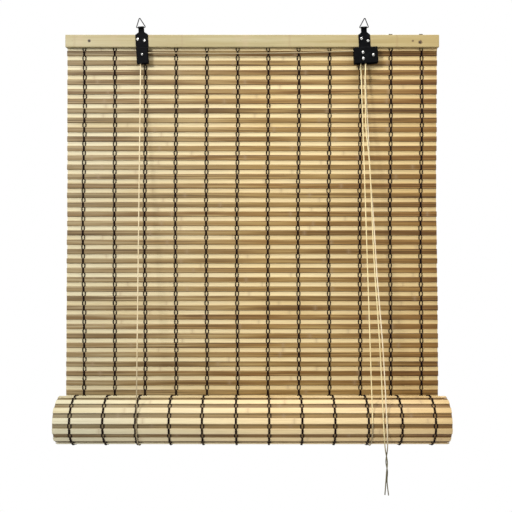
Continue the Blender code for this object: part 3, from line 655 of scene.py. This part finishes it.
def chain_path(column, hand, first, last, chance):
    """A thread that bows out over the front of light slats and behind brown ones."""
    points = []
    for number in range(first, last + 1):
        middle = slat_distance(number)
        x = column_x(column, middle)
        brown = number % 2
        depth = SLAT_THICKNESS - THREAD_RADIUS if brown else SLAT_THICKNESS + THREAD_RADIUS
        half = CHAIN_HALF * (1.0 if brown else chance.uniform(0.90, 1.1))
        sway = chance.uniform(-0.0004, 0.0004)
        corner = (0.40, 0.92) if brown else (0.36, 0.88)
        for share, spread in ((-corner[0], corner[1]), (0.0, 1.0), corner):
            points.append((x + hand * half * spread + sway, middle + share * SLAT_STEP, depth))
        points.append((x + hand * CHAIN_PINCH + sway, middle + 0.5 * SLAT_STEP, SLAT_THICKNESS))
    return points[:-1]


def centre_path(column, hand, first, last):
    """A thread of the pair that runs behind light slats and down the front of brown ones."""
    points = []
    for number in range(first, last + 1):
        middle = slat_distance(number)
        x = column_x(column, middle)
        depth = 2 * SLAT_THICKNESS + THREAD_RADIUS if number % 2 else -THREAD_RADIUS
        reach = 0.42 if number % 2 else 0.46
        for share in (-reach, 0.0, reach):
            off = hand * THREAD_RADIUS * 0.95
            points.append((x + off, middle + share * SLAT_STEP, depth))
    return points


def make_threads(material):
    """Each column's four warp threads, in an upper piece, a lower one over the bands that fold, and
    one on the roll.
    """
    fixed = 2 * PAIRS_PER_BAND * FIXED_BANDS - 2
    turns_end = int((THREADED_TURNS * math.tau * ROLL_RADIUS) / SLAT_STEP)
    parts = (
        ("warp_upper", 0, fixed, "head"),
        ("warp_lower", fixed + 1, 2 * PAIRS - 2, "head"),
        ("warp_rolled", 2 * PAIRS - 1, 2 * PAIRS - 1 + turns_end, "roll"),
    )
    for column in range(COLUMNS):
        for name, first, last, body in parts:
            shape = Shape(f"{name}_{column + 1:02d}")
            for hand in (-1, 1):
                chance = random.Random(column * 1000 + first)
                chain = chain_path(column, hand, first, last, chance)
                centre = centre_path(column, hand, first, last)
                if first == 0:
                    x = column_x(column, 0)
                    rise = TAIL_RISES[column]
                    over = [(x + hand * off, -rise, SLAT_THICKNESS) for off in (0, 0.0015, 0.0032)]
                    chain = over + chain
                for path in (chain, centre):
                    placed = [thread_point(*p) for p in path]
                    tube(shape, smooth_route(placed, 3 * len(placed)), THREAD_RADIUS, 6)
            piece = shape.make(material)
            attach(piece, body)
            if name == "warp_upper":
                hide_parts(f"warp_cord_{column + 1:02d}")
            if name == "warp_lower":
                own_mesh(piece)


# ------------------------------------------------------------------- the cords

def arc(centre, radius, start, stop, steps):
    """Points round an arc, both ends included."""
    swept = (stop - start) / steps
    return [
        (centre[0] + radius * math.cos(start + i * swept),
         centre[1] + radius * math.sin(start + i * swept))
        for i in range(steps + 1)
    ]


def exit_point(side, pulley, hand, y):
    """Where a cord leaves a case's open bottom, on one hand of its pulley."""
    return on_bracket(side, pulley[0] + hand * PULLEY_CORD_RADIUS, y, CASE_BOTTOM - CORD_RADIUS)


def cord_piece(name, points, material, body="head", node=None):
    shape = Shape(name)
    tube(shape, points, CORD_RADIUS, 10)
    piece = shape.make(material)
    if body:
        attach(piece, body)
    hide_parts(node or name.replace("_look", ""))
    return piece


def straight(start, end, step=0.004):
    count = max(2, round((end - start).length / step))
    return [start.lerp(end, i / count) for i in range(count + 1)]


def make_lift_cords(uppers, lower):
    """Each lift cord: down the front, in a loop under the roll, and up behind the panel."""
    starts = (
        exit_point(LEFT, LEFT_PULLEY, -1, PULLEY_BACK_Y),
        exit_point(RIGHT, LOCK_PULLEY, -1, PULLEY_BACK_Y),
    )
    for word, start, x, upper in zip(HANDS, starts, LOOP_X, uppers):
        dy, dz = start.y - ROLL_CENTRE.y, start.z - ROLL_CENTRE.z
        tangent = math.atan2(dz, dy) + math.acos(LOOP_RADIUS / math.hypot(dy, dz)) - math.tau
        bend = arc((ROLL_CENTRE.y, ROLL_CENTRE.z), LOOP_RADIUS, 0, tangent, 48)
        loop = [Vector((x, y, z)) for y, z in bend]
        front = cord_piece(f"lift_cord_{word}_front_look", straight(start, loop[-1]), upper)
        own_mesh(front)
        cord_piece(f"lift_cord_{word}_loop_look", loop, lower, "lift_loops")
        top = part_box(f"lift_cord_{word}_rear")[1]
        end = Vector((x, top.y - CORD_RADIUS, top.z))
        rear = cord_piece(f"lift_cord_{word}_rear_look", straight(loop[0], end), lower)
        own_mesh(rear)


def round_pulley(side, pulley, y, start, stop, steps=12):
    bend = arc(pulley, PULLEY_CORD_RADIUS, math.radians(start), math.radians(stop), steps)
    return [on_bracket(side, x, y, z) for x, z in bend]


def make_turned_cords(material):
    """The cord that crosses from the left pulley to the lock, and the right cord's bend."""
    left = [exit_point(LEFT, LEFT_PULLEY, -1, PULLEY_BACK_Y)]
    left += round_pulley(LEFT, LEFT_PULLEY, PULLEY_BACK_Y, 180, 90)
    right = round_pulley(RIGHT, LOCK_PULLEY, PULLEY_FRONT_Y, 90, 0)
    right += [exit_point(RIGHT, LOCK_PULLEY, 1, PULLEY_FRONT_Y)]
    across = []
    count = 90
    for i in range(1, count):
        t = i / count
        sag = 4 * CROSS_SAG * t * (1 - t)
        across.append(left[-1].lerp(right[0], t) - Vector((0, 0, sag)))
    cord_piece("cross_cord_look", left + across + right, material)

    up = [exit_point(RIGHT, LOCK_PULLEY, -1, PULLEY_BACK_Y)]
    bend = round_pulley(RIGHT, LOCK_PULLEY, PULLEY_BACK_Y, 180, 0, 20)
    down = [exit_point(RIGHT, LOCK_PULLEY, 1, PULLEY_BACK_Y)]
    cord_piece("lock_cord_bend_look", up + bend + down, material)


def make_pull_cords(materials):
    """The two free cords, which hang from the lock over the roll to their cut ends."""
    depths = (PULLEY_FRONT_Y, PULLEY_BACK_Y)
    for n, (y, route, material) in enumerate(zip(depths, PULL_ROUTES, materials)):
        start = exit_point(RIGHT, LOCK_PULLEY, 1, y)
        knots = [start - Vector((0, 0, GAP / 2)), start - Vector((0, 0, 4 * CORD_RADIUS))]
        path = smooth_route(knots + list(route), PULL_POINTS)
        fine = smooth_route(path, 4 * PULL_POINTS)
        piece = cord_piece(f"pull_cord_{n + 1}_look", fine, material, None)
        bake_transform(piece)


# ------------------------------------------------------------------- fasteners

def ring_of(side, x, y, z, radius, sides, sink=None):
    """A ring of points round an axis that faces the room, in the blind's frame."""
    points = []
    for j in range(sides):
        a = math.tau * j / sides
        across, up = radius * math.cos(a), radius * math.sin(a)
        deep = sink(across, up) if sink else 0.0
        points.append(on_bracket(side, x + across, y + deep, z + up))
    return points


def fastener(node, side, place, head, profile, material, sink=None, sides=48):
    """A turned head and shank in place of a CAD one; profile is (radius, height) from the top."""
    x, z = place
    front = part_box(node)[0].y + head
    shape = Shape(f"{node}_look")
    rings = [ring_of(side, x, front - h, z, r, sides, sink) for r, h in profile]
    blank = [[(0, 0, 0)] * sides] * len(rings)
    shape.loft(rings, [[tuple(p) for p in ring] for ring in rings], blank, blank)
    piece = shape.make(material, 35)
    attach(piece, "head")
    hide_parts(node)


def dome(radius, height, steps=9):
    """Profile of a round head from its crown to its rim."""
    turns = [math.pi / 2 * i / steps for i in range(steps + 1)]
    return [(max(POLE, radius * math.sin(a)), height * math.cos(a)) for a in turns]


def cross_recess(across, up):
    """How deep a screw's cross recess is at a point of its head."""
    away = math.hypot(across, up)
    in_cross = min(abs(across), abs(up)) < RECESS_HALF and away < RECESS_REACH
    return RECESS_DEPTH * (1 - away / RECESS_REACH) ** 0.5 if in_cross else 0.0


def screw_profile(end):
    """A screw's crowned head, finely stepped for its recess, and its pointed shank."""
    radius, height = SCREW_HEAD
    crown = [
        (i * CROWN_STEP + POLE, height * math.sqrt(1 - (i / CROWN_SPAN) ** 2))
        for i in range(CROWN_STEPS)
    ]
    rim = [(radius, RIM_HEIGHT), (radius, 0)]
    return crown + rim + [(SHANK, 0), (SHANK, end + SHANK), (POLE, end)]


def rivet_profile(radius, end):
    """A rivet's domed head, its shank and the spread tail behind it."""
    reach, height = RIVET_TAIL
    tail = end + height
    head = dome(radius, RIVET_HEAD_HEIGHT * RIVET_SWELL)
    spread = [(r, tail - height * share) for r, share in TAIL_ROUND]
    return head + [(SHANK, 0), (SHANK, tail), (reach, tail)] + spread


def make_fasteners(material):
    for side, word in enumerate(HANDS):
        for n, place in enumerate(SCREW_PLACES[side]):
            node = f"screw_{word}_{n + 1}"
            head = SCREW_HEAD[1]
            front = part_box(node)[0].y + head
            profile = screw_profile(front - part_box(node)[1].y)
            fastener(node, side, place, head, profile, material, cross_recess)
        for n, place in enumerate(RIVET_PLACES[side]):
            node = f"rivet_{word}" if side == LEFT else f"rivet_{word}_{n + 1}"
            head = RIVET_HEAD_HEIGHT
            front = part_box(node)[0].y + head
            profile = rivet_profile(RIVET_RADII[side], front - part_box(node)[1].y)
            fastener(node, side, place, head, profile, material)


def ring_path(shift):
    """A wire ring's centre line: a rounded triangle on the plate's neck, its tip at the hook."""
    half = RING_WIDTH / 2
    corners = [(shift - half, RING_PIVOT_Z), (0, WIRE_RADIUS), (shift + half, RING_PIVOT_Z)]
    points = []
    for i, corner in enumerate(corners):
        at = Vector(corner)
        a = (Vector(corners[i - 1]) - at).normalized()
        b = (Vector(corners[(i + 1) % 3]) - at).normalized()
        half_angle = a.angle(b) / 2
        centre = at + (a + b).normalized() * RING_CORNER / math.sin(half_angle)
        first = at + a * RING_CORNER / math.tan(half_angle) - centre
        start = math.atan2(first.y, first.x)
        points += arc(centre, RING_CORNER, start, start - (math.pi - 2 * half_angle), 9)
    low = min(z for _, z in points)
    high = max(z for _, z in points)
    return [(x, WIRE_RADIUS + (z - high) * RING_HEIGHT / (high - low)) for x, z in points]


def make_rings(material):
    for side, word in enumerate(HANDS):
        shape = Shape(f"hook_ring_{word}_look")
        path = [on_bracket(side, x, 0, z) for x, z in ring_path(PLATE_SHIFT[side])]
        tube(shape, path, WIRE_RADIUS, 14, closed=True)
        piece = shape.make(material)
        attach(piece, f"ring_{word}")
        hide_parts(f"hook_ring_{word}")


# ---------------------------------------------------------------- the CAD nodes

def dress_nodes(looks):
    """Gives the rigid CAD nodes that stay their materials, by slot."""
    for row in frame["record"]["subparts"]:
        node = frame["nodes"][row["node"]]
        wanted = looks.get(row["material_slot"])
        if wanted is None:
            continue
        node.data.materials.clear()
        node.data.materials.append(wanted)


# ------------------------------------------------------------------ the studio

def area_light(name, place, aim, size, power, colour):
    data = bpy.data.lights.new(name, "AREA")
    data.shape = "RECTANGLE"
    data.size, data.size_y = size
    data.energy = power
    data.color = colour
    light = bpy.data.objects.new(name, data)
    light.location = place
    light.rotation_euler = (Vector(aim) - Vector(place)).to_track_quat("-Z", "Y").to_euler()
    bpy.context.scene.collection.objects.link(light)


def make_studio():
    scene = bpy.context.scene
    scene.view_settings.view_transform = "Standard"
    lens = bpy.data.cameras.new("camera")
    lens.lens, lens.sensor_width = FOCAL_LENGTH, SENSOR_WIDTH
    lens.clip_end = 20
    camera = bpy.data.objects.new("camera", lens)
    camera.location = CAMERA_PLACE
    camera.rotation_euler = (math.pi / 2, 0, 0)
    scene.collection.objects.link(camera)
    scene.camera = camera

    middle = (0, 0, -0.45)
    area_light("key", (-2.3, -3.6, 0.75), middle, (0.8, 0.8), 135, (1.0, 0.985, 0.96))
    area_light("above", (0.1, -0.75, 1.9), middle, (1.8, 0.9), 82, (1.0, 0.985, 0.95))
    area_light("fill", (1.9, -2.6, -0.1), middle, (1.8, 1.8), 12, (1.0, 0.94, 0.84))
    area_light("back", (0.6, 2.4, 0.6), middle, (1.4, 1.4), 30, (1.0, 1.0, 1.0))

    world = bpy.data.worlds.new("studio")
    scene.world = world
    world.use_nodes = True
    tree = world.node_tree
    tree.nodes.clear()
    seen = tree.nodes.new("ShaderNodeLightPath")
    lit = tree.nodes.new("ShaderNodeBackground")
    lit.inputs["Color"].default_value = (0.95, 0.97, 1.0, 1)
    lit.inputs["Strength"].default_value = 0.28
    white = tree.nodes.new("ShaderNodeBackground")
    white.inputs["Color"].default_value = (1, 1, 1, 1)
    both = tree.nodes.new("ShaderNodeMixShader")
    out = tree.nodes.new("ShaderNodeOutputWorld")
    tree.links.new(seen.outputs["Is Camera Ray"], both.inputs["Fac"])
    tree.links.new(lit.outputs[0], both.inputs[1])
    tree.links.new(white.outputs[0], both.inputs[2])
    tree.links.new(both.outputs[0], out.inputs["Surface"])


def make_floor():
    """A plain pale disc, below the raised blind's pull cords."""
    look = Look("floor", 0.9)
    grain = look.noise(look.place(), (3, 3, 3), 3.0)
    look.set("Base Color", look.mix(grain, (0.86, 0.86, 0.85), (0.90, 0.90, 0.89)))
    shape = bmesh.new()
    bmesh.ops.create_circle(shape, cap_ends=True, segments=96, radius=FLOOR_RADIUS)
    mesh = bpy.data.meshes.new("floor")
    shape.to_mesh(mesh)
    shape.free()
    mesh.materials.append(look.material)
    floor = bpy.data.objects.new("floor", mesh)
    floor.location.z = FLOOR_HEIGHT
    bpy.context.scene.collection.objects.link(floor)


# ----------------------------------------------------------------------- build

make_studio()
make_floor()

DARK_END = (0.15, 0.155, 0.12)
BROWN_END = (0.22, 0.19, 0.14)
SLIGHTLY_DARKER = (0.9, 0.9, 0.88)
YELLOW = cord_look("yellowed_cord", (0.92, 0.79, 0.46), (0.58, 0.45, 0.22), 0.765, 0.81, DARK_END)
CREAM = cord_look("cream_cord", (0.93, 0.82, 0.60), (0.60, 0.48, 0.32), 0.765, 0.81, DARK_END)
LIFTING = cord_look("lifting_cord", (0.84, 0.72, 0.48), (0.50, 0.39, 0.23), 0.60, 0.74, BROWN_END)
# Painted shade: a darker copy of the cord, for the cord across the top, the lock's bend and the lift
# cords' loops and rear runs.
SHADED = cord_look("painted_shade_cord", (0.42, 0.34, 0.20), (0.24, 0.18, 0.10), 0.0, 0.1, SLIGHTLY_DARKER)
make_pull_cords((YELLOW, CREAM))
make_lift_cords((LIFTING, YELLOW), SHADED)
make_turned_cords(SHADED)

make_bands(slat_look("bamboo_slats", (0.98, 0.98, 0.99), (1.0, 1.0, 1.0)))
# The rolled slats take darker factors than the hanging ones: painted shade on the roll.
make_roll(slat_look("rolled_bamboo", (0.80, 0.83, 0.87), (0.87, 0.83, 0.82)))
make_threads(thread_look())

BLACK = metal_look(
    "black_paint", (0.002, 0.0022, 0.003), (0.006, 0.0065, 0.0075),
    roughness=0.55, metallic=0.0, depth=0.00006, gloss=0.05,
)
ZINC = metal_look(
    "zinc_steel", (0.46, 0.46, 0.45), (0.30, 0.30, 0.29),
    roughness=0.30, metallic=1.0, depth=0.00003,
)
DARK = metal_look(
    "dark_steel", (0.008, 0.0085, 0.010), (0.03, 0.03, 0.033),
    roughness=0.42, metallic=0.1, depth=0.00004, gloss=0.25,
)
make_fasteners(ZINC)
make_rings(DARK)
# The nails are the only fasteners that stay as CAD nodes, and they are dark.
dress_nodes({
    "rail_bamboo": rail_look(), "black_metal": BLACK, "zinc_steel": DARK, "dark_steel": DARK,
})
